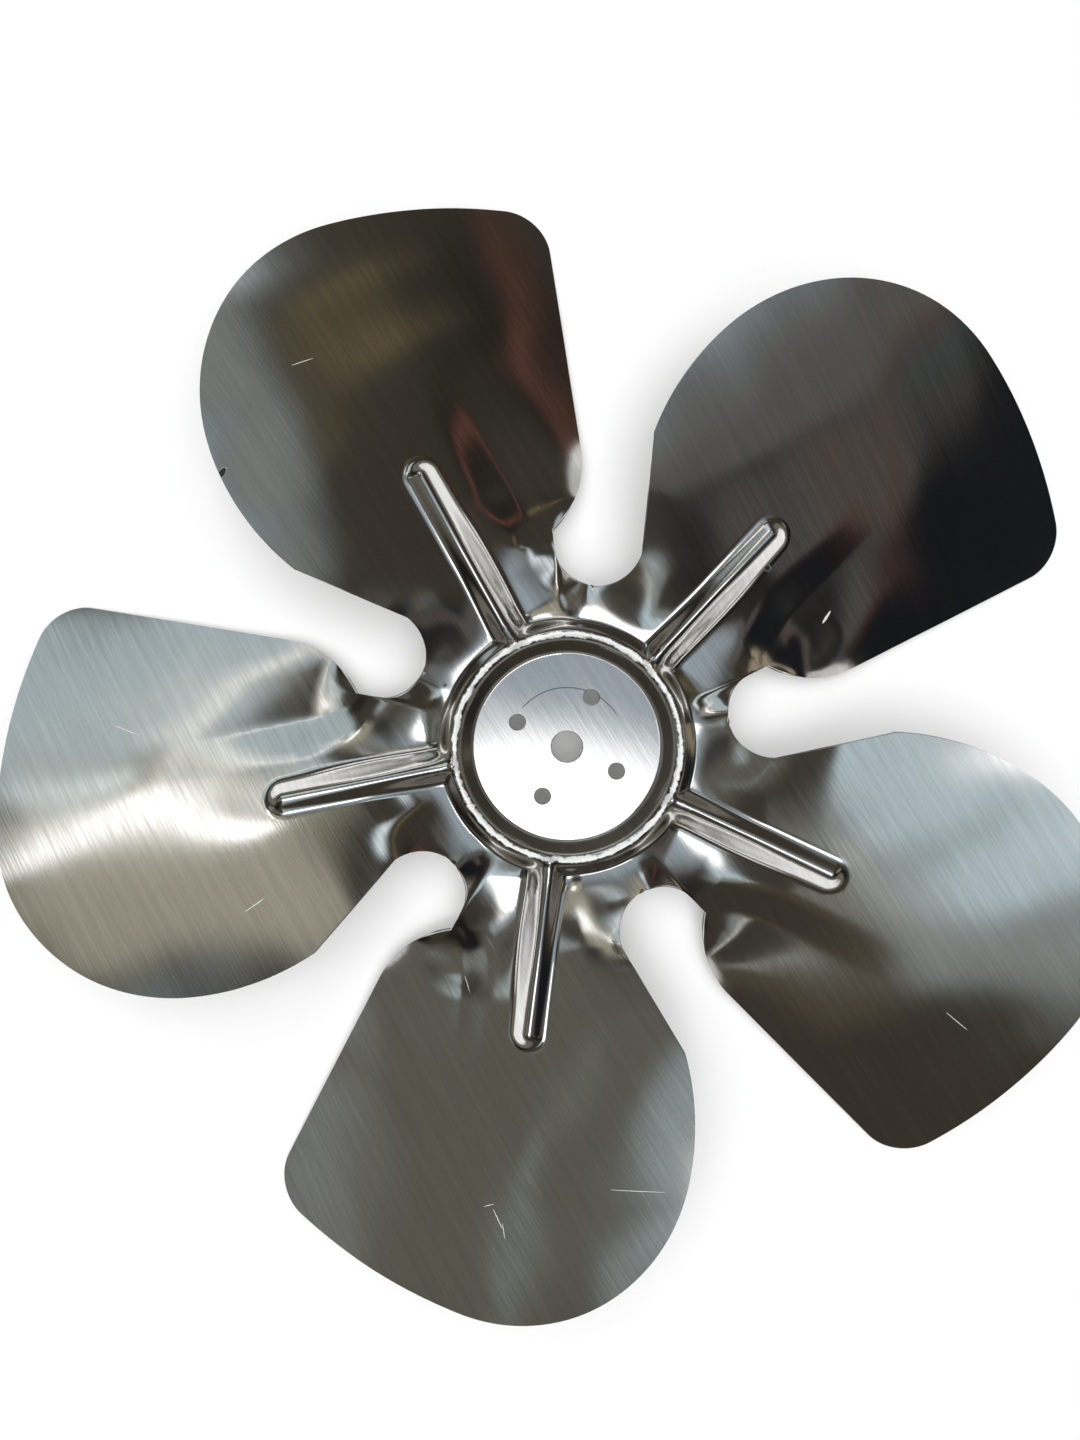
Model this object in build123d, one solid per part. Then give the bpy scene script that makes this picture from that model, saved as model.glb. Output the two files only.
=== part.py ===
from build123d import *
import math
import os

# Axial fan impeller pressed from one aluminium sheet: a recessed hub disc inside a raised ring bead,
# and five pitched blades with a raised rib each, parted by keyhole slots.
# Millimetres. Origin: centre of the bore on the underside of the hub disc. +Z: the side of the beads.

# Sheet and hub
BLADE_COUNT = 5
OUTER_DIAMETER = 254.0
SHEET = 1.2
BORE_DIAMETER = 7.1
FIXING_CIRCLE = 25.4
FIXING_DIAMETER = 3.6
FIXING_COUNT = 4
FIXING_TURN = 63.7            # degrees from +X to the first fixing hole
DISC_DIAMETER = 44.0
DISC_SINK = 1.8               # web plane above the disc plane
RING_DIAMETER = 50.8          # crest of the ring bead
RING_HEIGHT = 3.2             # crest above the web plane
RING_FOOT = 3.4               # crest to the foot of the outer flank, along the radius
RING_BEND = 1.9               # bend radius of the crest, mid sheet
FOOT_BEND = 1.5               # bend radius where the ring meets disc and web, mid sheet

# Ribs
RIB_END = 66.0                # radius of the blunt outer end
RIB_ROOT_OFFSET = 2.15        # rib line beside the blade axis, at the hub centre
RIB_LEAN = 2.9                # degrees that the rib leans toward the leading side
RIB_HEIGHT = 3.1
RIB_ROOT_WIDTH = 8.8
RIB_END_WIDTH = 7.2
RIB_CREST_WIDTH = 2.0

# Blank: angles are from the blade's own axis, positive toward the trailing side
AXIS_TURN = 117.2             # degrees from +X to the first blade axis
SLOT_RADIUS = 46.8            # hub centre to the centre of a keyhole
SLOT_ROUND = 10.1             # radius of a keyhole
LOBE_RADIUS = 42.5            # rounded leading corner
LOBE_TURN = 2.1
FLANK_RADIUS = 54.2           # leading edge below the lobe
FLANK_START = 4.2             # degrees above square where lobe and flank meet
FLANK_SWEEP = 28.5
SLOT_ENTRY = 24.0             # direction from the keyhole centre to the end of the leading edge
CORNER_RADIUS = 9.5
TRAIL_TOP = (50.2, 107.0)     # straight trailing edge, outer and inner end
TRAIL_FOOT = (34.7, 60.6)
BELLY_RADIUS = 23.6
NOTCH = (19.7, 46.4)          # inner corner where the trailing edge meets the keyhole
NECK_TURN = 165.0             # direction from the keyhole centre to the end of the notch side

# Pressed form
ROOT_SLOPE = 0.50             # fall across the blade near the slots
TIP_SLOPE = 0.33              # fall across the blade at the tip
CAMBER = 0.002                # fall that grows with the square of the distance, per mm
RAKE = 9.1                    # rise of the blade axis from web to tip
TWIST_FROM = 27.5
TWIST_FULL = 52.0
UNTWIST_FROM = 50.0
UNTWIST_TO = 100.0
RAKE_FROM = 30.0              # radius where the web turns up into the rake
RAKE_BEND = 3.0
FOLD_FROM = 23.0              # degrees: trailing side of the web folds up to the next blade
FOLD_SWEEP = 12.0
EASE_FROM = 12.0              # degrees: leading side of the web eases down to the fold
FOLD_BEND = 0.3               # share of the fold's sweep that is rounded at each end
FOLD_SHARE = 0.45             # level of the fold between the web and the next blade's leading side
FOLD_FADE_FROM = 41.0
FOLD_FADE_TO = 54.0
VALLEY_OFFSET = 15.0          # crease on the trailing side of the rib
VALLEY_FLARE = 4.0
VALLEY_DEPTH = 1.7
VALLEY_ROOT = 45.0            # distances along the blade: the crease deepens, holds, then fades out
VALLEY_FROM = 38.0
VALLEY_FULL = 50.0
VALLEY_FADE = 52.0
VALLEY_END = 92.0
VALLEY_INNER = 7.0            # widths of its two sides
VALLEY_OUTER = 13.0
VALLEY_BEND = 0.25

OUTER_RADIUS = OUTER_DIAMETER / 2
RING_RADIUS = RING_DIAMETER / 2
DISC_RADIUS = DISC_DIAMETER / 2
HALF_SECTOR = 180.0 / BLADE_COUNT
WEB_LEVEL = DISC_SINK + SHEET / 2

# Solids that the sheet is cut from reach well below it, and the blank's cutter passes right through
BASE_DEPTH = 40.0
CUTTER_HEIGHT = 60.0
RIM_MARGIN = 1.0

# Sections of the loft: each span's end and its number of sections, by radius and by angle
RADIAL_SPANS = [(30.4, 2), (FOLD_FADE_TO, 12), (70.0, 5), (UNTWIST_TO, 5)]
TURN_SPANS = [(-FOLD_FROM, 4), (10.0, 8), (FOLD_FROM, 5), (HALF_SECTOR, 8)]
RIB_SECTIONS = 6
NOSE_ANGLES = (35, 60, 80)    # sections round the rib's blunt end, in degrees
GRADIENT_STEP = 0.02          # distance over which the slope of the sheet is taken


def eased(start, end, value):
    """0 before start, 1 after end, smooth between."""
    part = min(1.0, max(0.0, (value - start) / (end - start)))
    return part * part * (3 - 2 * part)


def rounded(value, bend):
    """0 below, value above, joined by a bend."""
    if value <= -bend:
        return 0.0
    if value >= bend:
        return value
    return (value + bend) ** 2 / (4 * bend)


def ramp(part, bend):
    """Straight ramp from 0 to 1 with rounded ends."""
    half = bend / 2
    return (rounded(part - half, half) - rounded(part - 1 + half, half)) / (1 - bend)


def twisted(radius, across):
    """Height above the web of the twisted blade, at a distance across from its axis."""
    rise = eased(TWIST_FROM, TWIST_FULL, radius)
    slope = TIP_SLOPE + (ROOT_SLOPE - TIP_SLOPE) * (1 - eased(UNTWIST_FROM, UNTWIST_TO, radius))
    lift = RAKE * rounded(radius - RAKE_FROM, RAKE_BEND) / (OUTER_RADIUS - RAKE_FROM)
    return lift - rise * (slope * across + CAMBER * across**2)


def valley(across, along):
    """Depth of the crease beside the rib."""
    line = VALLEY_OFFSET + VALLEY_FLARE * math.exp(-max(along - VALLEY_ROOT, 0.0) / VALLEY_INNER)
    shown = eased(VALLEY_FROM, VALLEY_FULL, along) * (1 - eased(VALLEY_FADE, VALLEY_END, along))
    offset = across - line
    width = VALLEY_INNER if offset < 0 else VALLEY_OUTER
    return VALLEY_DEPTH * shown * rounded(1 - abs(offset) / width, VALLEY_BEND)


def pressed_height(radius, turn):
    """Mid-sheet height at a radius and an angle in degrees from the blade axis."""
    angle = math.radians(turn)
    seam = radius * math.sin(math.radians(HALF_SECTOR))
    low = twisted(radius, seam)
    high = twisted(radius, -seam)
    fold = ramp((turn - FOLD_FROM) / FOLD_SWEEP, FOLD_BEND)
    ease = eased(EASE_FROM, HALF_SECTOR, -turn)
    near_hub = 1 - eased(FOLD_FADE_FROM, FOLD_FADE_TO, radius)
    height = twisted(radius, radius * math.sin(angle))
    height -= valley(radius * math.sin(angle), radius * math.cos(angle))
    height += near_hub * (fold * (FOLD_SHARE * high - low) + ease * (FOLD_SHARE - 1) * high)
    return WEB_LEVEL + height


def skin_point(radius, turn, side):
    """Radius and height of the upper (side 1) or lower (side -1) face, half a sheet off the middle."""
    step = GRADIENT_STEP
    swing = math.degrees(step / radius)
    outward = (pressed_height(radius + step, turn) - pressed_height(radius - step, turn)) / (2 * step)
    round_axis = (pressed_height(radius, turn + swing) - pressed_height(radius, turn - swing)) / (2 * step)
    half_sheet = SHEET / 2 * math.sqrt(1 + outward**2 + round_axis**2)
    return radius, pressed_height(radius, turn) + side * half_sheet


def stations(start, spans):
    """Values from start through each (end, count) span, evenly spaced within it."""
    values = [start]
    for end, count in spans:
        first = values[-1]
        values += [first + (end - first) * (step + 1) / count for step in range(count)]
    return values


def radial_plane(direction):
    """Upright plane through the axis, its x axis pointing outward along a direction from +X."""
    angle = math.radians(direction)
    return Plane((0, 0, 0), x_dir=(math.cos(angle), math.sin(angle), 0),
                 z_dir=(math.sin(angle), -math.cos(angle), 0))


def slice_wire(turn, side, radii, depth):
    """Section along one radius of the solid between a face of the sheet and a level far below."""
    plane = radial_plane(AXIS_TURN - turn)
    face = [plane.from_local_coords(skin_point(radius, turn, side)) for radius in radii]
    inner = plane.from_local_coords((radii[0], -depth))
    outer = plane.from_local_coords((radii[-1], -depth))
    return Wire([Edge.make_spline(face, parameters=radii), Edge.make_line(face[-1], outer),
                 Edge.make_line(outer, inner), Edge.make_line(inner, face[0])])


def blades_under(side, depth, start, end):
    """Solid under one face of web and blades: one sector lofted, then repeated."""
    radii = stations(start, [*RADIAL_SPANS, (end, 3)])
    turns = stations(-HALF_SECTOR, TURN_SPANS)
    sector = Solid.make_loft([slice_wire(turn, side, radii, depth) for turn in turns])
    copies = [sector.rotate(Axis.Z, -2 * HALF_SECTOR * blade) for blade in range(BLADE_COUNT)]
    return copies[0].fuse(*copies[1:])


def moved_off(points, amount):
    """Corner points of a line of straight runs after it is moved off to its left by an amount."""
    runs = [(end - start).normalized() for start, end in zip(points, points[1:])]
    normals = [Vector(-run.Y, run.X) for run in runs]
    moved = []
    for index, point in enumerate(points):
        before = normals[max(index - 1, 0)]
        after = normals[min(index, len(normals) - 1)]
        middle = (before + after).normalized()
        moved.append(point + middle * (amount / middle.dot(before)))
    return moved


def hub_under(side, depth):
    """Solid under one face of hub disc and ring bead, turned round the axis."""
    crest_level = WEB_LEVEL + RING_HEIGHT
    buried_reach = RING_FOOT + SHEET
    middle = [Vector(0, SHEET / 2), Vector(DISC_RADIUS, SHEET / 2), Vector(RING_RADIUS, crest_level),
              Vector(RING_RADIUS + buried_reach, crest_level - RING_HEIGHT * buried_reach / RING_FOOT)]
    corners = moved_off(middle, side * SHEET / 2)
    bends = [FOOT_BEND - side * SHEET / 2, RING_BEND + side * SHEET / 2]
    face_line = FilletPolyline(*corners, radius=bends)
    start, end = face_line.position_at(0), face_line.position_at(1)
    skirt = Polyline(end, (end.X, -depth), (start.X, -depth), start)
    section = Plane.XZ * make_face([*face_line.edges(), *skirt.edges()])
    return revolve(section, Axis.Z).solid()


def rib_section(along, width, share, side, depth):
    """Section across the rib of the solid under one face of its roof, shrunk to a share of its size."""
    lean = math.radians(RIB_LEAN)
    plane = Plane((RIB_ROOT_OFFSET - along * math.sin(lean), along * math.cos(lean), 0),
                  x_dir=(math.cos(lean), math.sin(lean), 0), z_dir=(math.sin(lean), -math.cos(lean), 0))

    def sheet_level(across):
        place = plane.from_local_coords((across, 0, 0))
        return pressed_height(math.hypot(place.X, place.Y), math.degrees(math.atan2(place.X, place.Y)))

    feet = [Vector(hand * width / 2, sheet_level(hand * width / 2)) for hand in (-1, 1)]
    shoulders = [Vector(hand * RIB_CREST_WIDTH / 2, sheet_level(0) + RIB_HEIGHT) for hand in (-1, 1)]
    buried = [foot * 2 - shoulder for foot, shoulder in zip(feet, shoulders)]
    corners = moved_off([buried[0], *shoulders, buried[1]], side * SHEET / 2)
    face_level = sheet_level(0) + side * SHEET / 2
    corners = [Vector(point.X, point.Y - face_level) * share + Vector(0, face_level) for point in corners]
    outline = [*corners, Vector(corners[-1].X, -depth), Vector(corners[0].X, -depth)]
    return Wire.make_polygon([plane.from_local_coords((point.X, point.Y)) for point in outline])


def ribs_under(side, depth, start):
    """Solids under one face of the ribs, from a start inside the ring to the blunt end."""
    nose = RIB_END - RIB_END_WIDTH / 2
    sections = []
    for along in stations(start, [(nose, RIB_SECTIONS)]):
        width = RIB_ROOT_WIDTH + (RIB_END_WIDTH - RIB_ROOT_WIDTH) * (along - start) / (nose - start)
        sections.append(rib_section(along, width, 1.0, side, depth))
    cap = RIB_END_WIDTH / 2 + side * SHEET / 2
    for angle in NOSE_ANGLES:
        reach = nose + cap * math.sin(math.radians(angle))
        share = math.cos(math.radians(angle))
        sections.append(rib_section(reach, RIB_END_WIDTH, share, side, depth))
    rib = Solid.make_loft(sections, ruled=True)
    return [rib.rotate(Axis.Z, AXIS_TURN - 90 - 2 * HALF_SECTOR * blade) for blade in range(BLADE_COUNT)]


def polar(radius, degrees):
    """Point at a radius and an angle from +X."""
    return Vector(radius * math.cos(math.radians(degrees)), radius * math.sin(math.radians(degrees)))


def arc(centre, radius, start, end):
    """Arc round a centre between two angles from +X."""
    return Edge.make_three_point_arc(*[centre + polar(radius, start + (end - start) * part)
                                       for part in (0, 0.5, 1)])


def heading(vector):
    """Angle of a vector from +X, in degrees."""
    return math.degrees(math.atan2(vector.Y, vector.X))


def blade_edges():
    """Edge of the blank round one blade, its axis along +Y, from keyhole bottom to keyhole bottom."""
    lead_slot = polar(SLOT_RADIUS, 90 + HALF_SECTOR)
    trail_slot = polar(SLOT_RADIUS, 90 - HALF_SECTOR)
    lobe = polar(OUTER_RADIUS - LOBE_RADIUS, 90 - LOBE_TURN)
    flank_turn = 180 - FLANK_START
    flank = lobe + polar(LOBE_RADIUS - FLANK_RADIUS, flank_turn)
    lead_edge = Edge.make_line(lead_slot + polar(SLOT_ROUND, SLOT_ENTRY),
                               flank + polar(FLANK_RADIUS, flank_turn + FLANK_SWEEP))
    foot, top, notch = Vector(*TRAIL_FOOT), Vector(*TRAIL_TOP), Vector(*NOTCH)
    run = (top - foot).normalized()
    inward = Vector(-run.Y, run.X)
    base = foot + inward * CORNER_RADIUS
    reach = math.sqrt(base.dot(run) ** 2 - base.dot(base) + (OUTER_RADIUS - CORNER_RADIUS) ** 2)
    corner = base + run * (reach - base.dot(run))
    half_chord = (notch - foot) / 2
    sink = math.sqrt(BELLY_RADIUS**2 - half_chord.dot(half_chord))
    chord = half_chord.normalized()
    belly = foot + half_chord + Vector(chord.Y, -chord.X) * sink
    return [
        arc(lead_slot, SLOT_ROUND, HALF_SECTOR - 90, SLOT_ENTRY),
        lead_edge,
        arc(flank, FLANK_RADIUS, flank_turn + FLANK_SWEEP, flank_turn),
        arc(lobe, LOBE_RADIUS, flank_turn, 90 - LOBE_TURN),
        arc(Vector(0, 0), OUTER_RADIUS, 90 - LOBE_TURN, heading(corner)),
        arc(corner, CORNER_RADIUS, heading(corner), heading(-inward)),
        Edge.make_line(corner - inward * CORNER_RADIUS, foot),
        arc(belly, BELLY_RADIUS, heading(foot - belly), heading(notch - belly)),
        Edge.make_line(notch, trail_slot + polar(SLOT_ROUND, NECK_TURN)),
        arc(trail_slot, SLOT_ROUND, NECK_TURN, 270 - HALF_SECTOR),
    ]


def blank():
    """Flat blank with its bore and fixing holes, as a tall cutter."""
    edges = [edge.rotate(Axis.Z, AXIS_TURN - 90 - 2 * HALF_SECTOR * blade)
             for blade in range(BLADE_COUNT) for edge in blade_edges()]
    cutter = extrude(Face(Wire(edges)), CUTTER_HEIGHT, both=True).solid()
    holes = [Solid.make_cylinder(BORE_DIAMETER / 2, 2 * CUTTER_HEIGHT, Plane((0, 0, -CUTTER_HEIGHT)))]
    for index in range(FIXING_COUNT):
        place = polar(FIXING_CIRCLE / 2, FIXING_TURN + 360 * index / FIXING_COUNT)
        plane = Plane((place.X, place.Y, -CUTTER_HEIGHT))
        holes.append(Solid.make_cylinder(FIXING_DIAMETER / 2, 2 * CUTTER_HEIGHT, plane))
    return cutter.cut(*holes)


def under_face(side, depth, start, end):
    """Everything under one face of the pressed sheet, down to a depth."""
    return hub_under(side, depth).fuse(blades_under(side, depth, start, end), *ribs_under(side, depth, start))


def impeller():
    """The pressed sheet: all under its upper face, less all under its lower face, then blanked."""
    rim = OUTER_RADIUS + RIM_MARGIN
    upper = under_face(1, BASE_DEPTH, RING_RADIUS, rim)
    lower = under_face(-1, 2 * BASE_DEPTH, RING_RADIUS + SHEET / 2, rim + RIM_MARGIN)
    return upper.cut(lower).intersect(blank()).solid()


if __name__ == "__main__":
    os.makedirs("parts", exist_ok=True)
    export_step(impeller(), "parts/impeller.step")
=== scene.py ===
import math

import bpy
import numpy as np
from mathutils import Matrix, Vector
from mathutils.geometry import delaunay_2d_cdt
from mathutils.kdtree import KDTree


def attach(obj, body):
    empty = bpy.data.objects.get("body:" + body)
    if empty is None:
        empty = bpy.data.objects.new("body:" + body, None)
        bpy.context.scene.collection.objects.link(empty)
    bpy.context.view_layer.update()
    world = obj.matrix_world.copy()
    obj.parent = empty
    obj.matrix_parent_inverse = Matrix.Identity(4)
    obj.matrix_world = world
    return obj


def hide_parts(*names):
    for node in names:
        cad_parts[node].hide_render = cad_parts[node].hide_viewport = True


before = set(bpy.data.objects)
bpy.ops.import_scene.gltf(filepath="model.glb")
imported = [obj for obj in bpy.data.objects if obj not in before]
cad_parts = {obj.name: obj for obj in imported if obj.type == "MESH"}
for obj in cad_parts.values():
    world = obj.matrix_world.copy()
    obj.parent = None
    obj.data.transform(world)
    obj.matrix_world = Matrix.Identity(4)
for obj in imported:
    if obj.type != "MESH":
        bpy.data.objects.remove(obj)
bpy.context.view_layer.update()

MM = 0.001

# ---------------------------------------------------------------- the blank, in mm and degrees
# across is measured from a blade's axis toward its trailing side, along outward on the axis.

BLADES = 5
HALF_SECTOR = 180.0 / BLADES
AXIS_TURN = 117.2
OUTER_RADIUS = 127.0
HALF_SHEET = 0.6
EDGE_ROUND = 0.22
BORE_RADIUS = 3.55
FIXINGS = 4
FIXING_CIRCLE_RADIUS = 12.7
FIXING_RADIUS = 1.8
FIXING_TURN = 63.7
KEYHOLE_CIRCLE_RADIUS = 46.8
KEYHOLE_RADIUS = 10.1
KEYHOLE_LEAD_TURN = 24.0
KEYHOLE_TRAIL_TURN = 165.0
LOBE_RADIUS = 42.5
LOBE_TURN = 90 - 2.1
FLANK_RADIUS = 54.2
FLANK_TURN = 180 - 4.2
FLANK_SWEEP = 28.5
CORNER_RADIUS = 9.5
BELLY_RADIUS = 23.6
EDGE_TOP = (50.2, 107.0)
EDGE_FOOT = (34.7, 60.6)
EDGE_NOTCH = (19.7, 46.4)

# ---------------------------------------------------------------- the pressing, in mm and degrees
# A pair says where a change starts and where it ends.

RING_RADIUS = 25.4
RING_HEIGHT = 3.2
RING_FOOT = 4.2
RING_OUTSIDE = 31.0
DISC_LEVEL = 0.6
DISC_EDGE = 21.5
WALL_TOP = RING_RADIUS + 0.2
WALL_BEND = 0.25
INNER_RISE = 1.3
CREST_BEND = 0.7
WEB_LEVEL = 2.4
PITCH_START = 26.0
PITCH_FULL = 53.0
PITCH_SKEW = 8.0
TIP_SLOPE = 0.33
ROOT_SLOPE = 0.06
SLOPE_ZONE = (50.0, 100.0)
LEAD_CURL = 0.002
ROOT_CURL = 0.003
LEAD_CURL_ZONE = (38.0, 60.0)
TRAIL_CURL = 0.001
TRAIL_CURL_ZONE = (60.0, 90.0)
TIP_LIFT = 9.1
LIFT_START = 30.0
LIFT_BEND = 3.0
FOLD_TURN = 23.0
FOLD_WIDTH = 12.0
FOLD_BEND = 0.3
EASE_TURN = 12.0
SEAM_SHARE = 0.45
LOW_SIDE_ZONE = (38.0, 59.0)
HIGH_SIDE_ZONE = (36.0, 51.0)
VALLEY_DEPTH = 1.3
VALLEY_ACROSS = 15.0
VALLEY_SWING = 4.0
VALLEY_SWING_START = 45.0
VALLEY_SWING_FADE = 7.0
VALLEY_LEAD_HALF = 7.0
VALLEY_TRAIL_HALF = 13.0
VALLEY_REACH = 1.1
VALLEY_FLOOR_BEND = 0.02
VALLEY_EDGE_BEND = 0.25
VALLEY_START = (38.0, 50.0)
VALLEY_END = (52.0, 92.0)
TROUGH_DEPTH = 1.7
TROUGH_START = (24.0, 32.0)
TROUGH_END = (40.0, 62.0)
TROUGH_NEAR = (-1.0, 5.0)
TROUGH_FAR = (5.0, 21.0)
RIB_ROOT_OFFSET = 2.15
RIB_LEAN = math.radians(2.9)
RIB_HEIGHT = 3.6
RIB_END_HEIGHT = 2.9
RIB_ROOT_HALF = 3.8
RIB_END_HALF = 3.3
RIB_CREST_ROOT = -0.9
RIB_CREST_END = 0.3
RIB_CREST_BEND = 0.2
RIB_FOOT_BEND = 0.3
RIB_RING_BEND = 1.8
RIB_ENDS = (72.0, 69.0, 68.5, 68.0, 68.0)
WAVE_ZONE = (30.0, 45.0)
WAVES = [
    # height, length along x, length along y, phase; a negative length leans the wave the other way
    (0.035, 4.1, 9.0, 1.0), (0.03, -11.0, 3.7, 0.0), (0.05, 7.3, -6.1, 0.6),
]
DENTS = [
    # centre x, centre y, size, depth
    (0.5, -30.5, 3.2, 0.35), (-1.6, 40.5, 6.5, 0.45), (58.0, 24.5, 7.0, 0.4), (12.2, -43.3, 3.0, -0.2),
    (-26.0, -50.0, 9.0, 0.5), (18.5, 20.5, 3.0, 0.3),
]

# ---------------------------------------------------------------- spacing of the mesh's points, in mm

EDGE_STEP = 0.8
HOLE_STEP = 0.45
TOP_FINENESS = 1.0
LOW_FINENESS = 2.0
BLANK_REACH = 130.0
DISC_SPACING = 1.3
DISC_POINTS_END = 19.9
RING_POINTS = (20.4, 31.0)
RING_ROW_GAP = 0.33
RING_SPACING = 0.75
RIB_POINTS_HALF = 5.6
RIB_POINTS = (30.4, 72.6)
RIB_POINTS_INSIDE = 31.2
RIB_SPACING_ACROSS = 0.35
RIB_SPACING_ALONG = 0.62
RIB_ZONE = (29.0, 72.5)
WEB_SPACING = 0.82
WEB_POINTS = (31.3, 57.0)
WEB_RIB_GAP = 0.2
BLADE_SPACING = 1.02
BLADE_POINTS_START = 57.4
BLADE_RIB_GAP = 0.3
EDGE_GAP = 0.42
MERGE_DISTANCE = 1e-5
RIM_SPREAD = 0.45

# ---------------------------------------------------------------- surface of the metal, in mm and degrees

GRAIN_TURN = 57.0
GRAIN_DEPTH = 0.006
SCUFF_RADIUS = RING_RADIUS + 0.1
SCRIBED_RADIUS = 13.55
SCRIBED_MIDDLE = (1.0, 13.0)
DULL_TONE = (0.79, 0.78, 0.76, 1)
BRIGHT_TONE = (0.88, 0.87, 0.85, 1)
GRAIN_TONE = (0.60, 0.59, 0.58, 1)
SCUFF_TONE = (0.93, 0.93, 0.92, 1)
SCRATCH_TONE = (0.96, 0.96, 0.95, 1)
INK_TONE = (0.015, 0.015, 0.018, 1)
SCRIBED_TONE = (0.12, 0.12, 0.12, 1)
SCRATCHES = [
    # centre x, centre y, half length, half width, turn
    (-15.6, -104.0, 2.2, 0.10, -62), (-14.2, -106.5, 1.6, 0.08, -80), (-17.5, -101.5, 1.2, 0.08, 20),
    (14.5, -95.0, 6.0, 0.06, 3), (-68.3, -34.2, 2.6, 0.10, 35), (-100.7, 3.8, 3.0, 0.09, -20),
    (-92.0, -8.5, 2.4, 0.08, -35), (60.5, 30.0, 1.8, 0.30, 60), (-23.0, -55.0, 2.0, 0.08, -70),
    (88.0, -62.0, 3.4, 0.08, -40), (34.0, 98.0, 2.6, 0.08, -55), (-58.0, 84.0, 2.4, 0.08, 25),
]
MARKS = [
    # centre x, centre y, half length, half width, turn
    (107.0, -10.5, 4.6, 1.3, -38), (-73.8, 58.8, 1.3, 0.7, 60), (45.2, 40.4, 0.9, 0.7, 0),
]

# ---------------------------------------------------------------- stage, in metres, watts and degrees

FLOOR_HALF = 3.0
FLOOR_COLOUR = (0.90, 0.90, 0.90, 1)
FLOOR_GLOW = 0.03
LAMP_TURNS = (20, 110, 200, 290)
LAMP_OUT = 0.6
LAMP_UP = 1.45
LAMP_SIZE = 1.0
LAMP_POWER = 7.2
CAMERA_PLACE = (-0.0062, 0.00609, 0.2492)
CAMERA_LENS = 36.0
CAMERA_SENSOR = 36.0
LOWEST_RISE = 0.05
WALL_BAND = (0.36, 0.22)
WALLS = (0.16, 0.15, 0.13)
ROOM = (0.045, 0.039, 0.030)
PANELS = [
    # A soft light panel overhead. Its place and size are the tangents of its angles from straight up:
    # x to the right, y to the top. centre, half size, turn, softness, colour
    ((-0.42, 1.20), (0.60, 0.45), 0, 0.2, (0.43, 0.51, 0.54)),
    ((-0.30, 0.52), (0.17, 0.32), 0, 0.5, (0.36, 0.34, 0.27)),
    ((-1.00, -0.10), (0.85, 0.40), 0, 0.5, (0.115, 0.110, 0.090)),
    ((-1.65, -0.25), (0.40, 0.30), 0, 0.5, (0.20, 0.21, 0.20)),
    ((-0.90, 0.26), (0.24, 0.09), 0, 0.5, (0.36, 0.41, 0.42)),
    ((-0.64, -0.22), (0.035, 0.12), 0, 0.8, (0.19, 0.21, 0.20)),
    ((-1.50, -1.05), (0.60, 0.42), 0, 0.4, (0.010, 0.010, 0.010)),
    ((-1.45, 1.30), (0.40, 0.55), 0, 0.4, (0.015, 0.013, 0.011)),
    ((1.45, -0.75), (1.05, 0.65), -20, 0.4, (0.009, 0.010, 0.012)),
    ((0.78, -0.48), (0.13, 0.26), 15, 0.4, (0.080, 0.076, 0.070)),
    ((0.48, -0.08), (0.25, 0.28), 0, 0.15, (0.098, 0.093, 0.086)),
    ((0.715, -0.22), (0.014, 0.20), 8, 0.8, (0.095, 0.055, 0.045)),
    ((0.765, -0.18), (0.022, 0.20), 8, 0.8, (0.050, 0.078, 0.082)),
    ((0.86, -0.55), (0.018, 0.30), 25, 0.8, (0.080, 0.030, 0.024)),
    ((1.20, 0.85), (0.50, 0.30), 35, 0.5, (0.020, 0.018, 0.015)),
    ((1.10, 0.75), (0.050, 0.45), -12, 0.8, (0.130, 0.055, 0.038)),
    ((1.75, 0.10), (0.45, 0.22), 0, 0.4, (0.32, 0.27, 0.20)),
    ((0.08, 0.02), (0.30, 0.32), 0, 0.5, (0.32, 0.38, 0.43)),
    ((-0.46, 0.74), (0.08, 0.06), 0, 0.5, (0.85, 0.95, 0.97)),
    ((-0.40, 0.83), (0.16, 0.025), 10, 0.6, (0.33, 0.33, 0.28)),
    ((-0.28, 0.92), (0.030, 0.26), 0, 0.5, (0.95, 0.95, 0.90)),
    ((-0.37, 0.61), (0.16, 0.042), 33, 0.3, (2.00, 2.00, 1.95)),
    ((-0.20, 0.98), (0.24, 0.040), 8, 0.5, (0.90, 0.92, 0.88)),
    ((-0.38, 0.14), (0.14, 0.13), 0, 0.5, (0.035, 0.035, 0.036)),
    ((0.20, 0.38), (0.12, 0.08), 0, 0.7, (0.20, 0.22, 0.21)),
    ((0.14, 0.54), (0.19, 0.065), 25, 0.8, (0.80, 0.90, 0.95)),
    ((0.56, 0.62), (0.22, 0.030), 40, 0.9, (0.15, 0.12, 0.06)),
    ((0.02, -0.70), (0.34, 0.14), 40, 0.4, (0.23, 0.25, 0.24)),
    ((0.01, -0.53), (0.27, 0.10), 49, 0.4, (0.50, 0.61, 0.67)),
    ((-0.22, -0.80), (0.15, 0.045), 35, 0.5, (0.50, 0.51, 0.47)),
    ((-0.36, -1.02), (0.20, 0.18), 0, 0.6, (0.070, 0.058, 0.040)),
    ((-0.30, -0.22), (0.09, 0.08), 0, 0.6, (0.28, 0.33, 0.34)),
    ((0.00, -0.19), (0.20, 0.17), -8, 0.2, (2.20, 2.20, 2.20)),
]


# ---------------------------------------------------------------- soft steps

def eased(start, end, value):
    """0 before start, 1 after end, with level ends."""
    part = np.clip((value - start) / (end - start), 0.0, 1.0)
    return part * part * (3 - 2 * part)


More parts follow.
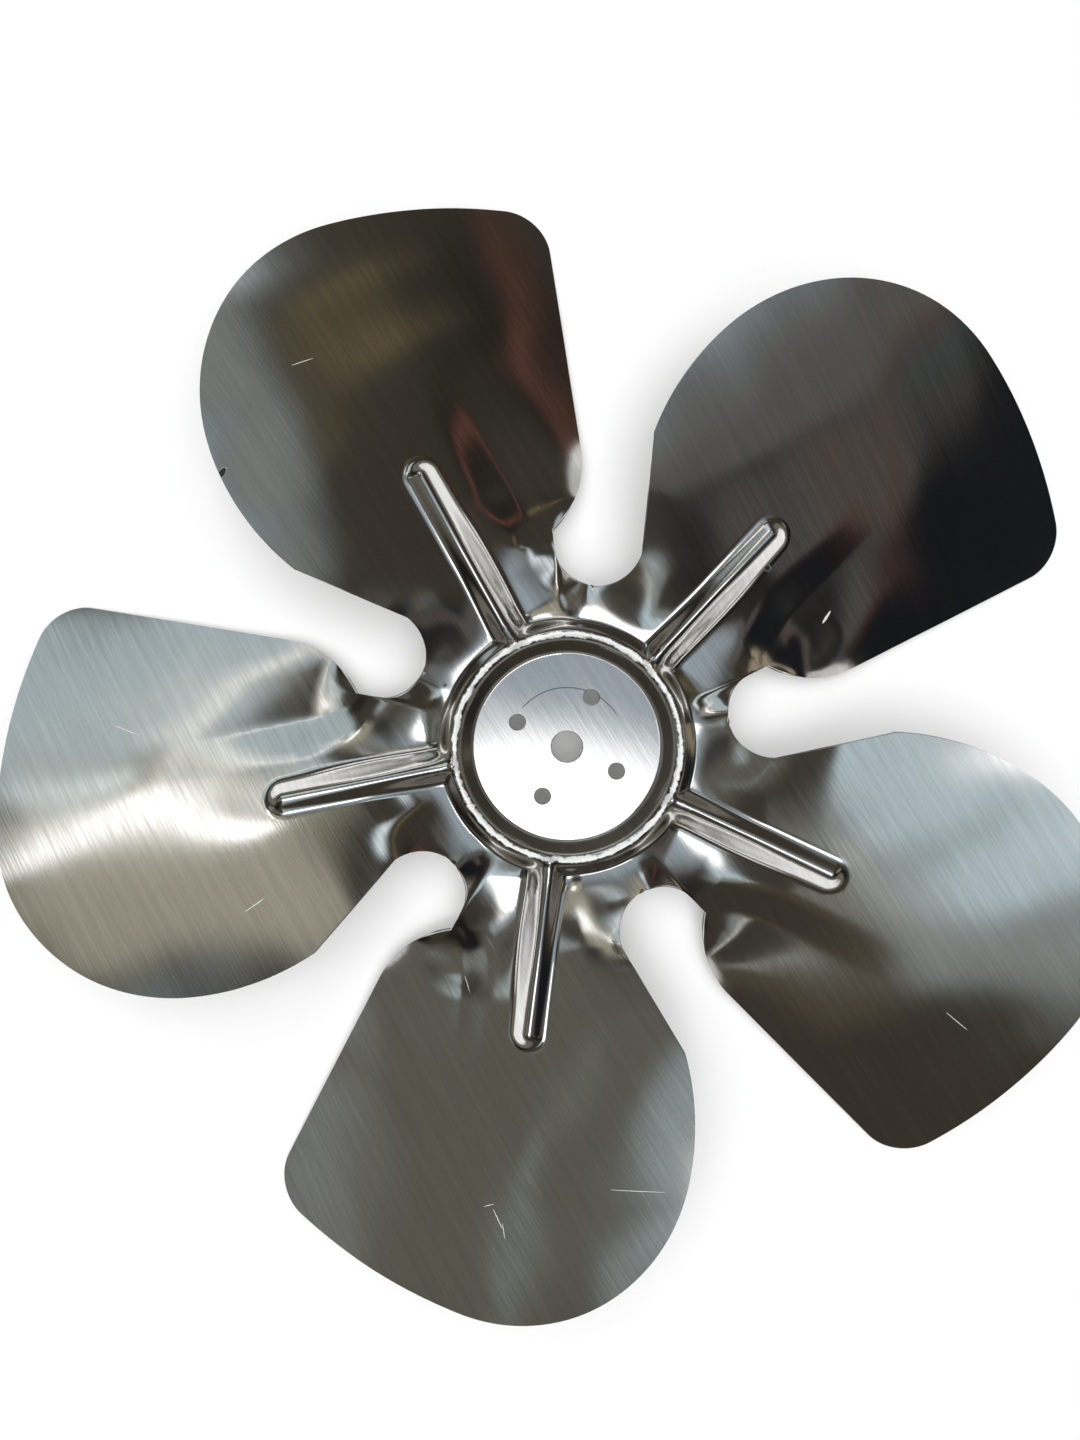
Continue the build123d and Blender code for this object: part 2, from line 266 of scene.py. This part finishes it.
def rounded(value, bend):
    """The value where it is above 0 and 0 below, with a rounded corner."""
    bent = (value + bend) ** 2 / (4 * bend)
    return np.where(value <= -bend, 0.0, np.where(value >= bend, value, bent))


def soft_max(one, other, bend):
    return other + rounded(one - other, bend)


def soft_min(one, other, bend):
    return other - rounded(other - one, bend)


def ramp(part, bend):
    """Straight from 0 to 1, with both corners rounded."""
    half = bend / 2
    return (rounded(part - half, half) - rounded(part - 1 + half, half)) / (1 - bend)


def bell(square):
    """Rounded bump: 1 in the middle, 0 with level feet where the squared distance reaches 1."""
    return np.maximum(1 - square, 0.0) ** 2


# ---------------------------------------------------------------- form of the pressed sheet, mid thickness

def blade_place(x, y):
    """Radius, across, along and number of the blade whose sector holds the plan points."""
    radius = np.hypot(x, y)
    heading = np.degrees(np.arctan2(y, x))
    blade = np.rint((AXIS_TURN - heading) / (2 * HALF_SECTOR))
    turn = np.radians(AXIS_TURN - heading - 2 * HALF_SECTOR * blade)
    return radius, radius * np.sin(turn), radius * np.cos(turn), blade.astype(int) % BLADES


def twisted(radius, across):
    """The pitched blade without its folds: level at the ring, steepest past the keyholes."""
    rise = eased(PITCH_START, PITCH_FULL + PITCH_SKEW * np.tanh(across / PITCH_SKEW), radius)
    slope = TIP_SLOPE + ROOT_SLOPE * (1 - eased(*SLOPE_ZONE, radius))
    leading = LEAD_CURL + ROOT_CURL * (1 - eased(*LEAD_CURL_ZONE, radius))
    trailing = TRAIL_CURL * (1 + eased(*TRAIL_CURL_ZONE, radius))
    curl = np.where(across < 0, leading, trailing)
    lift = TIP_LIFT * rounded(radius - LIFT_START, LIFT_BEND) / (OUTER_RADIUS - LIFT_START)
    return lift - rise * (slope * across + curl * across**2)


def valley(across, along):
    """Depth of the long crease on the trailing side of the rib."""
    swing = np.exp(-np.maximum(along - VALLEY_SWING_START, 0.0) / VALLEY_SWING_FADE)
    depth = VALLEY_DEPTH * eased(*VALLEY_START, along) * (1 - eased(*VALLEY_END, along))
    offset = across - (VALLEY_ACROSS + VALLEY_SWING * swing)
    part = np.where(offset < 0, offset / VALLEY_LEAD_HALF, offset / VALLEY_TRAIL_HALF)
    return depth * rounded(VALLEY_REACH - np.sqrt(part**2 + VALLEY_FLOOR_BEND), VALLEY_EDGE_BEND)


def trough(across, along):
    """The sheet is drawn down beside the root of the rib, on its trailing side."""
    fade = eased(*TROUGH_START, along) * (1 - eased(*TROUGH_END, along))
    return TROUGH_DEPTH * fade * eased(*TROUGH_NEAR, across) * (1 - eased(*TROUGH_FAR, across))


def blade_level(across, along):
    """Web and blade without ring and rib. Between two blades, the web folds up from the low trailing
    side of one to the high leading side of the next."""
    radius = np.hypot(across, along)
    turn = np.degrees(np.arctan2(across, along))
    seam = radius * math.sin(math.radians(HALF_SECTOR))
    low, high = twisted(radius, seam), twisted(radius, -seam)
    fold = ramp((turn - FOLD_TURN) / FOLD_WIDTH, FOLD_BEND)
    ease = eased(EASE_TURN, HALF_SECTOR, -turn)
    low_side = 1 - eased(*LOW_SIDE_ZONE, radius)
    high_side = 1 - eased(*HIGH_SIDE_ZONE, radius)
    level = twisted(radius, across) - valley(across, along) - trough(across, along)
    lowered = high_side * ease * (1 - SEAM_SHARE) * high
    return WEB_LEVEL + level + low_side * fold * (SEAM_SHARE * high - low) - lowered


def rib_bead(across, along, end):
    """Height of the raised rib above the sheet; its crest runs from the leading side to the middle,
    so that the trailing flank is broad at the ring. end is the radius of its blunt tip."""
    reach = along * math.cos(RIB_LEAN) - (across - RIB_ROOT_OFFSET) * math.sin(RIB_LEAN)
    side = (across - RIB_ROOT_OFFSET) * math.cos(RIB_LEAN) + along * math.sin(RIB_LEAN)
    part = np.clip((reach - RING_RADIUS) / (end - RING_RADIUS), 0, 1)
    half = RIB_ROOT_HALF + (RIB_END_HALF - RIB_ROOT_HALF) * part
    crest = RIB_CREST_ROOT + (RIB_CREST_END - RIB_CREST_ROOT) * part
    height = RIB_HEIGHT + (RIB_END_HEIGHT - RIB_HEIGHT) * part
    offset = side - crest
    slant = np.where(offset < 0, offset / (half + crest), offset / (half - crest))
    beyond = np.maximum(reach - (end - RIB_END_HALF), 0) / RIB_END_HALF
    drop = np.sqrt(slant**2 + beyond**2 + RIB_CREST_BEND**2) - RIB_CREST_BEND
    return np.where(reach > 0, height * rounded(1 - drop, RIB_FOOT_BEND), 0.0)


def handling(x, y):
    """Slight waves of a hand-moved sheet and its shallow dimples."""
    waves = sum(height * np.sin(x / along_x + y / along_y + phase)
                for height, along_x, along_y, phase in WAVES)
    level = waves * eased(*WAVE_ZONE, np.hypot(x, y))
    for centre_x, centre_y, size, depth in DENTS:
        level = level - depth * bell(((x - centre_x) ** 2 + (y - centre_y) ** 2) / size**2)
    return level


def sheet_level(x, y):
    """Mid-sheet height of the whole pressing at plan points."""
    radius, across, along, blade = blade_place(x, y)
    ring = RING_HEIGHT * bell((np.maximum(radius - RING_RADIUS, 0) / RING_FOOT) ** 2)
    rib = rib_bead(across, along, np.array(RIB_ENDS)[blade])
    outer = blade_level(across, along) + handling(x, y) + soft_max(rib, ring, RIB_RING_BEND)
    wall = ramp((radius - DISC_EDGE) / (WALL_TOP - DISC_EDGE), WALL_BEND)
    crest = WEB_LEVEL + RING_HEIGHT
    inner = DISC_LEVEL + (crest - DISC_LEVEL) * wall + INNER_RISE * np.maximum(radius - WALL_TOP, 0)
    return np.where(radius > RING_OUTSIDE, outer, soft_min(inner, outer, CREST_BEND))


def middle_and_normal(points):
    """Mid-sheet points over plan points, and the sheet's upward normals there."""
    x, y = points[:, 0], points[:, 1]
    step = 0.02
    fall_x = (sheet_level(x + step, y) - sheet_level(x - step, y)) / (2 * step)
    fall_y = (sheet_level(x, y + step) - sheet_level(x, y - step)) / (2 * step)
    normal = np.stack([-fall_x, -fall_y, np.ones_like(x)], 1)
    normal /= np.linalg.norm(normal, axis=1)[:, None]
    return np.stack([x, y, sheet_level(x, y)], 1), normal


# ---------------------------------------------------------------- outline of the blank

def polar(radius, degrees):
    return np.array([radius * math.cos(math.radians(degrees)), radius * math.sin(math.radians(degrees))])


def heading_of(vector):
    return math.degrees(math.atan2(vector[1], vector[0]))


def arc_points(centre, radius, start, end, step):
    count = max(2, int(abs(math.radians(end - start)) * radius / step) + 1)
    angles = np.radians(np.linspace(start, end, count))
    return centre + radius * np.stack([np.cos(angles), np.sin(angles)], 1)


def line_points(start, end, step):
    count = max(2, int(np.linalg.norm(end - start) / step) + 1)
    return start + (end - start) * np.linspace(0, 1, count)[:, None]


def turned(points, degrees):
    angle = math.radians(degrees)
    spin = np.array([[math.cos(angle), math.sin(angle)], [-math.sin(angle), math.cos(angle)]])
    return points @ spin


def blade_outline(step):
    """Edge of the blank round one blade whose axis is +Y, keyhole bottom to keyhole bottom."""
    lead_slot = polar(KEYHOLE_CIRCLE_RADIUS, 90 + HALF_SECTOR)
    trail_slot = polar(KEYHOLE_CIRCLE_RADIUS, 90 - HALF_SECTOR)
    lobe = polar(OUTER_RADIUS - LOBE_RADIUS, LOBE_TURN)
    flank = lobe + polar(LOBE_RADIUS - FLANK_RADIUS, FLANK_TURN)
    flank_end = FLANK_TURN + FLANK_SWEEP
    top, foot, notch = np.array(EDGE_TOP), np.array(EDGE_FOOT), np.array(EDGE_NOTCH)
    run = (top - foot) / np.linalg.norm(top - foot)
    inward = np.array([-run[1], run[0]])
    base = foot + inward * CORNER_RADIUS
    reach = math.sqrt((base @ run) ** 2 - base @ base + (OUTER_RADIUS - CORNER_RADIUS) ** 2)
    corner = base + run * (reach - base @ run)
    half_chord = (notch - foot) / 2
    sink = math.sqrt(BELLY_RADIUS**2 - half_chord @ half_chord)
    chord = half_chord / np.linalg.norm(half_chord)
    belly = foot + half_chord + np.array([chord[1], -chord[0]]) * sink
    runs = [
        arc_points(lead_slot, KEYHOLE_RADIUS, HALF_SECTOR - 90, KEYHOLE_LEAD_TURN, step),
        line_points(lead_slot + polar(KEYHOLE_RADIUS, KEYHOLE_LEAD_TURN),
                    flank + polar(FLANK_RADIUS, flank_end), step),
        arc_points(flank, FLANK_RADIUS, flank_end, FLANK_TURN, step),
        arc_points(lobe, LOBE_RADIUS, FLANK_TURN, LOBE_TURN, step),
        arc_points(np.zeros(2), OUTER_RADIUS, LOBE_TURN, heading_of(corner), step),
        arc_points(corner, CORNER_RADIUS, heading_of(corner), heading_of(-inward), step),
        line_points(corner - inward * CORNER_RADIUS, foot, step),
        arc_points(belly, BELLY_RADIUS, heading_of(foot - belly), heading_of(notch - belly), step),
        line_points(notch, trail_slot + polar(KEYHOLE_RADIUS, KEYHOLE_TRAIL_TURN), step),
        arc_points(trail_slot, KEYHOLE_RADIUS, KEYHOLE_TRAIL_TURN, 270 - HALF_SECTOR, step),
    ]
    return np.concatenate([run_points[:-1] for run_points in runs])


def loops_of_blank():
    """Closed loops of plan points: the outer edge, then the bore and the fixing holes."""
    one = blade_outline(EDGE_STEP)
    blades = [turned(one, AXIS_TURN - 90 - 2 * HALF_SECTOR * blade) for blade in range(BLADES)]
    holes = [(np.zeros(2), BORE_RADIUS)]
    for hole in range(FIXINGS):
        holes.append((polar(FIXING_CIRCLE_RADIUS, FIXING_TURN + 360 / FIXINGS * hole), FIXING_RADIUS))
    rounds = [arc_points(centre, radius, 0, 360, HOLE_STEP)[:-1] for centre, radius in holes]
    return [np.concatenate(blades)] + rounds


def inset(loop, amount, inward_sign):
    """The loop moved sideways into the metal, and its plan directions out of the metal."""
    ahead, behind = np.roll(loop, -1, 0), np.roll(loop, 1, 0)
    tangent = ahead - behind
    tangent /= np.linalg.norm(tangent, axis=1)[:, None]
    side = np.stack([-tangent[:, 1], tangent[:, 0]], 1) * inward_sign
    return loop + side * amount, -side


def inside(points, loops):
    """Which points lie in the metal, by counting crossings of all the loops."""
    starts = np.concatenate(loops)
    ends = np.concatenate([np.roll(loop, -1, 0) for loop in loops])
    result = np.zeros(len(points), bool)
    batch = 2000
    for first in range(0, len(points), batch):
        x, y = points[first:first + batch, 0][:, None], points[first:first + batch, 1][:, None]
        straddles = (starts[:, 1] > y) != (ends[:, 1] > y)
        rise = np.where(ends[:, 1] == starts[:, 1], 1.0, ends[:, 1] - starts[:, 1])
        crossing = starts[:, 0] + (y - starts[:, 1]) * (ends[:, 0] - starts[:, 0]) / rise
        result[first:first + batch] = (straddles & (x < crossing)).sum(1) % 2 == 1
    return result


# ---------------------------------------------------------------- points of the mesh

def hex_points(spacing):
    rows = np.arange(-BLANK_REACH, BLANK_REACH, spacing * math.sqrt(3) / 2)
    places = []
    for index, y in enumerate(rows):
        x = np.arange(-BLANK_REACH, BLANK_REACH, spacing) + (spacing / 2 if index % 2 else 0)
        places.append(np.stack([x, np.full_like(x, y)], 1))
    return np.concatenate(places)


def off_ribs(points, gap):
    """Which points lie clear of the ribs' own rows of points."""
    _, across, along, _ = blade_place(points[:, 0], points[:, 1])
    side = across - RIB_ROOT_OFFSET + along * math.sin(RIB_LEAN)
    beside = np.abs(side) < RIB_POINTS_HALF + gap
    return ~(beside & (along > RIB_ZONE[0]) & (along < RIB_ZONE[1] + gap))


def ring_points(fineness):
    rows = []
    for radius in np.arange(*RING_POINTS, RING_ROW_GAP * fineness):
        count = int(2 * math.pi * radius / (RING_SPACING * fineness))
        angles = np.arange(count) * 2 * math.pi / count + radius
        rows.append(radius * np.stack([np.cos(angles), np.sin(angles)], 1))
    return np.concatenate(rows)


def rib_points(fineness, blade):
    across, along = np.meshgrid(
        np.arange(-RIB_POINTS_HALF, RIB_POINTS_HALF + 0.01, RIB_SPACING_ACROSS * fineness),
        np.arange(*RIB_POINTS, RIB_SPACING_ALONG * fineness))
    x = RIB_ROOT_OFFSET - along * math.sin(RIB_LEAN) + across * math.cos(RIB_LEAN)
    y = along * math.cos(RIB_LEAN) + across * math.sin(RIB_LEAN)
    points = turned(np.stack([x.ravel(), y.ravel()], 1), AXIS_TURN - 90 - 2 * HALF_SECTOR * blade)
    return points[np.hypot(points[:, 0], points[:, 1]) > RIB_POINTS_INSIDE]


def interior_points(fineness):
    """Plan points inside the sheet, closer together on the ring, the ribs and the web."""
    parts = [ring_points(fineness)]
    parts += [rib_points(fineness, blade) for blade in range(BLADES)]
    web = hex_points(WEB_SPACING * fineness)
    radius = np.hypot(web[:, 0], web[:, 1])
    parts.append(web[(radius > WEB_POINTS[0]) & (radius < WEB_POINTS[1]) & off_ribs(web, WEB_RIB_GAP)])
    blade = hex_points(BLADE_SPACING * fineness)
    radius = np.hypot(blade[:, 0], blade[:, 1])
    parts.append(blade[(radius >= BLADE_POINTS_START) & off_ribs(blade, BLADE_RIB_GAP)])
    disc = hex_points(DISC_SPACING * fineness)
    parts.append(disc[np.hypot(disc[:, 0], disc[:, 1]) < DISC_POINTS_END])
    return np.concatenate(parts)


def facing_up(plan, faces):
    """The triangles with their corners anticlockwise in plan."""
    a, b, c = plan[faces[:, 0]], plan[faces[:, 1]], plan[faces[:, 2]]
    area = (b[:, 0] - a[:, 0]) * (c[:, 1] - a[:, 1]) - (b[:, 1] - a[:, 1]) * (c[:, 0] - a[:, 0])
    return np.where(area[:, None] > 0, faces, faces[:, ::-1])


def triangulated(loops, fineness):
    """Vertices (the loops first, in order) and triangles of the sheet in plan."""
    border = np.concatenate(loops)
    tree = KDTree(len(border))
    for index, point in enumerate(border):
        tree.insert((point[0], point[1], 0.0), index)
    tree.balance()
    points = interior_points(fineness)
    points = points[inside(points, loops)]
    clear = [tree.find((p[0], p[1], 0.0))[2] > EDGE_GAP * fineness for p in points]
    every = np.concatenate([border, points[np.array(clear)]])
    edges = []
    first = 0
    for loop in loops:
        count = len(loop)
        edges += [(first + i, first + (i + 1) % count) for i in range(count)]
        first += count
    result = delaunay_2d_cdt([Vector(p) for p in every], edges, [], 0, MERGE_DISTANCE)
    triangles = np.array(result[2])
    triangles = triangles[inside(every[triangles].mean(1), loops)]
    return every, facing_up(every, triangles)


# ---------------------------------------------------------------- the closed mesh

def rim(border, outward):
    """Points and normals of the two rows along the cut edge, upper row first."""
    middle, normal = middle_and_normal(border)
    outward = np.concatenate([outward, np.zeros((len(border), 1))], 1)
    outward -= normal * (outward * normal).sum(1)[:, None]
    outward /= np.linalg.norm(outward, axis=1)[:, None]
    reach = (HALF_SHEET - EDGE_ROUND) * normal
    points = [middle + reach, middle - reach]
    normals = [outward + RIM_SPREAD * normal, outward - RIM_SPREAD * normal]
    return points, normals


def rim_faces(loops, signs, top_first, up_first, down_first, low_first):
    """Strips of quads from the upper face over the two rows of the rim to the lower face."""
    faces = []
    first = 0
    for loop, sign in zip(loops, signs):
        count = len(loop)
        for i in range(count):
            a, b = first + i, first + (i + 1) % count
            for upper, lower in ((top_first, up_first), (up_first, down_first), (down_first, low_first)):
                quad = (upper + a, upper + b, lower + b, lower + a)
                faces.append(quad[::-1] if sign > 0 else quad)
        first += count
    return faces


def build_sheet():
    """The whole pressing as one closed mesh: two faces and a slightly rounded cut edge."""
    loops = loops_of_blank()
    signs = [1] + [-1] * (len(loops) - 1)
    moved, outward = zip(*[inset(loop, EDGE_ROUND, sign) for loop, sign in zip(loops, signs)])
    plan_top, faces_top = triangulated(moved, TOP_FINENESS)
    plan_low, faces_low = triangulated(moved, LOW_FINENESS)
    top, top_normal = middle_and_normal(plan_top)
    low, low_normal = middle_and_normal(plan_low)
    rim_points, rim_normals = rim(np.concatenate(loops), np.concatenate(outward))
    points = np.concatenate([top + HALF_SHEET * top_normal, low - HALF_SHEET * low_normal, *rim_points])
    normals = np.concatenate([top_normal, -low_normal, *rim_normals])
    normals /= np.linalg.norm(normals, axis=1)[:, None]
    low_first = len(top)
    up_first = low_first + len(low)
    down_first = up_first + len(rim_points[0])
    faces = [tuple(face) for face in faces_top]
    faces += [tuple(face + low_first) for face in faces_low[:, ::-1]]
    faces += rim_faces(loops, signs, 0, up_first, down_first, low_first)
    mesh = bpy.data.meshes.new("pressed_sheet")
    mesh.from_pydata([tuple(p) for p in points * MM], [], [tuple(int(i) for i in face) for face in faces])
    mesh.validate()
    mesh.polygons.foreach_set("use_smooth", [True] * len(mesh.polygons))
    mesh.normals_split_custom_set_from_vertices([tuple(n) for n in normals])
    mesh.update()
    piece = bpy.data.objects.new("pressed_sheet", mesh)
    bpy.context.scene.collection.objects.link(piece)
    return piece


# ---------------------------------------------------------------- material

class Graph:
    """Short ways to add nodes to one material or world."""

    def __init__(self, owner):
        owner.use_nodes = True
        self.nodes, self.links = owner.node_tree.nodes, owner.node_tree.links

    def put(self, value, socket):
        if isinstance(value, bpy.types.NodeSocket):
            self.links.new(value, socket)
        else:
            socket.default_value = value

    def maths(self, operation, one, other=0.0):
        node = self.nodes.new("ShaderNodeMath")
        node.operation = operation
        self.put(one, node.inputs[0])
        self.put(other, node.inputs[1])
        return node.outputs[0]

    def length(self, vector):
        node = self.nodes.new("ShaderNodeVectorMath")
        node.operation = "LENGTH"
        self.links.new(vector, node.inputs[0])
        return node.outputs["Value"]

    def stretch(self, vector, scale, turn):
        """The vector turned about Z by degrees, then scaled."""
        turner = self.nodes.new("ShaderNodeMapping")
        turner.inputs["Rotation"].default_value = (0, 0, math.radians(turn))
        self.links.new(vector, turner.inputs["Vector"])
        scaler = self.nodes.new("ShaderNodeMapping")
        scaler.inputs["Scale"].default_value = scale
        self.links.new(turner.outputs[0], scaler.inputs["Vector"])
        return scaler.outputs[0]

    def ellipse(self, vector, centre, half_size, turn):
        """Distance from a turned ellipse's centre, 1 at its edge."""
        mover = self.nodes.new("ShaderNodeMapping")
        mover.vector_type = "TEXTURE"
        mover.inputs["Location"].default_value = (*centre, 0)
        mover.inputs["Rotation"].default_value = (0, 0, math.radians(turn))
        mover.inputs["Scale"].default_value = (*half_size, 1)
        self.links.new(vector, mover.inputs["Vector"])
        return self.length(mover.outputs[0])

    def noise(self, vector, scale, detail, rough=0.5):
        node = self.nodes.new("ShaderNodeTexNoise")
        node.inputs["Scale"].default_value = scale
        node.inputs["Detail"].default_value = detail
        node.inputs["Roughness"].default_value = rough
        self.links.new(vector, node.inputs["Vector"])
        return node.outputs["Fac"]

    def grain(self, vector, along, across, detail):
        """Noise drawn out along the rolling direction; along and across are its scales."""
        drawn = self.stretch(vector, (along, across, along), GRAIN_TURN)
        return self.noise(drawn, scale=1.0, detail=detail, rough=0.6)

    def between(self, value, low, high, to_low=0.0, to_high=1.0):
        node = self.nodes.new("ShaderNodeMapRange")
        node.interpolation_type = "SMOOTHSTEP"
        for name, number in (("From Min", low), ("From Max", high), ("To Min", to_low), ("To Max", to_high)):
            node.inputs[name].default_value = number
        self.links.new(value, node.inputs["Value"])
        return node.outputs["Result"]

    def mixed(self, share, one, other):
        node = self.nodes.new("ShaderNodeMix")
        node.data_type = "RGBA"
        self.put(share, node.inputs["Factor"])
        self.put(one, node.inputs["A"])
        self.put(other, node.inputs["B"])
        return node.outputs["Result"]

    def patches(self, vector, places, ragged):
        """1 inside a set of small ellipses with ragged edges, given in mm."""
        total = 0.0
        for x, y, half_length, half_width, turn in places:
            length = self.ellipse(vector, (x * MM, y * MM), (half_length * MM, half_width * MM), turn)
            total = self.maths("MAXIMUM", self.between(self.maths("ADD", length, ragged), 1.6, 1.3), total)
        return total

    def distance(self, vector, centre=(0.0, 0.0)):
        """Plan distance in mm from a centre given in mm."""
        mover = self.nodes.new("ShaderNodeMapping")
        mover.inputs["Location"].default_value = (-centre[0], -centre[1], 0)
        mover.inputs["Scale"].default_value = (1 / MM, 1 / MM, 0)
        self.links.new(vector, mover.inputs["Vector"])
        return self.length(mover.outputs[0])

    def gap_to_circle(self, vector, radius):
        return self.maths("ABSOLUTE", self.maths("SUBTRACT", self.distance(vector), radius))


def scuffed(graph, place, ragged):
    """Share of scuffed metal on the ring's crest."""
    edge = graph.maths("MULTIPLY", graph.between(ragged, 0.3, 0.7), 0.8)
    return graph.between(graph.maths("ADD", graph.gap_to_circle(place, SCUFF_RADIUS), edge), 1.25, 0.55)


def scribed(graph, place):
    """Share of the thin arc scribed on the disc."""
    line = graph.between(graph.gap_to_circle(place, SCRIBED_RADIUS), 0.20, 0.08)
    return graph.maths("MULTIPLY", line, graph.between(graph.distance(place, SCRIBED_MIDDLE), 12.6, 11.0))


def metal():
    """Mill-finish aluminium: fine straight rolling grain, a scuffed ring, a scribed arc and a few marks."""
    material = bpy.data.materials.new("sheet")
    graph = Graph(material)
    shader = graph.nodes["Principled BSDF"]
    place = graph.nodes.new("ShaderNodeTexCoord").outputs["Object"]
    streak = graph.grain(place, along=14, across=640, detail=3.0)
    coarse = graph.grain(place, along=70, across=2600, detail=3.0)
    fine = graph.grain(place, along=140, across=5200, detail=2.0)
    cloud = graph.noise(place, scale=22.0, detail=3.0)
    ragged = graph.noise(place, scale=420.0, detail=4.0, rough=0.7)
    scuff = scuffed(graph, place, ragged)
    scratch = graph.patches(place, SCRATCHES, ragged)
    ink = graph.patches(place, MARKS, ragged)
    worn = graph.maths("MAXIMUM", scuff, scratch)

    tone = graph.mixed(graph.between(streak, 0.3, 0.7), DULL_TONE, BRIGHT_TONE)
    tone = graph.mixed(graph.between(coarse, 0.35, 0.70, 0.0, 0.3), tone, GRAIN_TONE)
    tone = graph.mixed(scuff, tone, SCUFF_TONE)
    tone = graph.mixed(scratch, tone, SCRATCH_TONE)
    tone = graph.mixed(ink, tone, INK_TONE)
    tone = graph.mixed(graph.maths("MULTIPLY", scribed(graph, place), 0.7), tone, SCRIBED_TONE)
    graph.links.new(tone, shader.inputs["Base Color"])

    bare = graph.between(worn, 0.0, 1.0, 1.0, 0.45)
    metallic = graph.maths("MULTIPLY", bare, graph.maths("SUBTRACT", 1.0, ink))
    shader.inputs["Metallic"].default_value = 1.0
    graph.links.new(metallic, shader.inputs["Metallic"])

    rough = graph.maths("ADD", graph.between(cloud, 0.3, 0.7, 0.06, 0.12),
                        graph.between(coarse, 0.3, 0.7, 0.0, 0.05))
    rough = graph.maths("ADD", rough, graph.maths("MULTIPLY", worn, 0.3))
    rough = graph.maths("ADD", rough, graph.maths("MULTIPLY", ink, 0.35))
    graph.links.new(rough, shader.inputs["Roughness"])

    height = graph.maths("ADD", graph.maths("MULTIPLY", coarse, 0.7), graph.maths("MULTIPLY", fine, 0.3))
    bump = graph.nodes.new("ShaderNodeBump")
    bump.inputs["Strength"].default_value = 1.0
    bump.inputs["Distance"].default_value = GRAIN_DEPTH * MM
    graph.links.new(height, bump.inputs["Height"])
    graph.links.new(bump.outputs[0], shader.inputs["Normal"])
    return material


# ---------------------------------------------------------------- stage

def floor_material():
    """White paint whose brightness is topped up a little where it is seen directly or mirrored."""
    material = bpy.data.materials.new("floor")
    graph = Graph(material)
    shader = graph.nodes["Principled BSDF"]
    shader.inputs["Base Color"].default_value = FLOOR_COLOUR
    shader.inputs["Roughness"].default_value = 0.9
    path = graph.nodes.new("ShaderNodeLightPath").outputs
    seen = graph.maths("MAXIMUM", path["Is Camera Ray"], path["Is Glossy Ray"])
    glow = graph.nodes.new("ShaderNodeEmission")
    mix = graph.nodes.new("ShaderNodeMixShader")
    graph.links.new(graph.maths("MULTIPLY", seen, FLOOR_GLOW), mix.inputs["Fac"])
    graph.links.new(shader.outputs[0], mix.inputs[1])
    graph.links.new(glow.outputs[0], mix.inputs[2])
    graph.links.new(mix.outputs[0], graph.nodes["Material Output"].inputs["Surface"])
    return material


def floor_at(level):
    mesh = bpy.data.meshes.new("floor")
    corners = [(-FLOOR_HALF, -FLOOR_HALF), (FLOOR_HALF, -FLOOR_HALF), (FLOOR_HALF, FLOOR_HALF),
               (-FLOOR_HALF, FLOOR_HALF)]
    mesh.from_pydata([(x, y, level) for x, y in corners], [], [(0, 1, 2, 3)])
    mesh.materials.append(floor_material())
    floor = bpy.data.objects.new("floor", mesh)
    bpy.context.scene.collection.objects.link(floor)
    return floor


def lamp_at(turn):
    """A square lamp above and to one side, aimed at the hub and not mirrored by the metal."""
    data = bpy.data.lights.new(f"lamp_{turn}", "AREA")
    data.shape = "SQUARE"
    data.size = LAMP_SIZE
    data.energy = LAMP_POWER
    lamp = bpy.data.objects.new(f"lamp_{turn}", data)
    angle = math.radians(turn)
    place = Vector((LAMP_OUT * math.cos(angle), LAMP_OUT * math.sin(angle), LAMP_UP))
    lamp.location = place
    lamp.rotation_euler = (-place).to_track_quat("-Z", "Y").to_euler()
    lamp.visible_glossy = False
    bpy.context.scene.collection.objects.link(lamp)


def studio_world():
    """A dim room with pale walls low down and soft light panels overhead."""
    world = bpy.data.worlds.new("studio")
    bpy.context.scene.world = world
    graph = Graph(world)
    split = graph.nodes.new("ShaderNodeSeparateXYZ")
    graph.links.new(graph.nodes.new("ShaderNodeTexCoord").outputs["Generated"], split.inputs[0])
    height = graph.maths("MAXIMUM", split.outputs["Z"], LOWEST_RISE)
    plane = graph.nodes.new("ShaderNodeCombineXYZ")
    for axis in "XY":
        graph.links.new(graph.maths("DIVIDE", split.outputs[axis], height), plane.inputs[axis])
    colour = (*ROOM, 1)
    for centre, half_size, turn, softness, shade in PANELS:
        reach = graph.ellipse(plane.outputs[0], centre, half_size, turn)
        share = graph.between(reach, 1 + softness, 1 - softness)
        colour = graph.mixed(share, colour, (*shade, 1))
    colour = graph.mixed(graph.between(split.outputs["Z"], *WALL_BAND), colour, (*WALLS, 1))
    graph.links.new(colour, graph.nodes["Background"].inputs["Color"])


def camera():
    data = bpy.data.cameras.new("camera")
    data.sensor_fit = "HORIZONTAL"
    data.sensor_width = CAMERA_SENSOR
    data.lens = CAMERA_LENS
    holder = bpy.data.objects.new("camera", data)
    holder.location = CAMERA_PLACE
    bpy.context.scene.collection.objects.link(holder)
    bpy.context.scene.camera = holder


sheet = build_sheet()
sheet.data.materials.append(metal())
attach(sheet, "root")
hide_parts("impeller")
floor_at(min(vertex.co.z for vertex in sheet.data.vertices))
for lamp_turn in LAMP_TURNS:
    lamp_at(lamp_turn)
studio_world()
camera()
bpy.context.scene.view_settings.view_transform = "Standard"
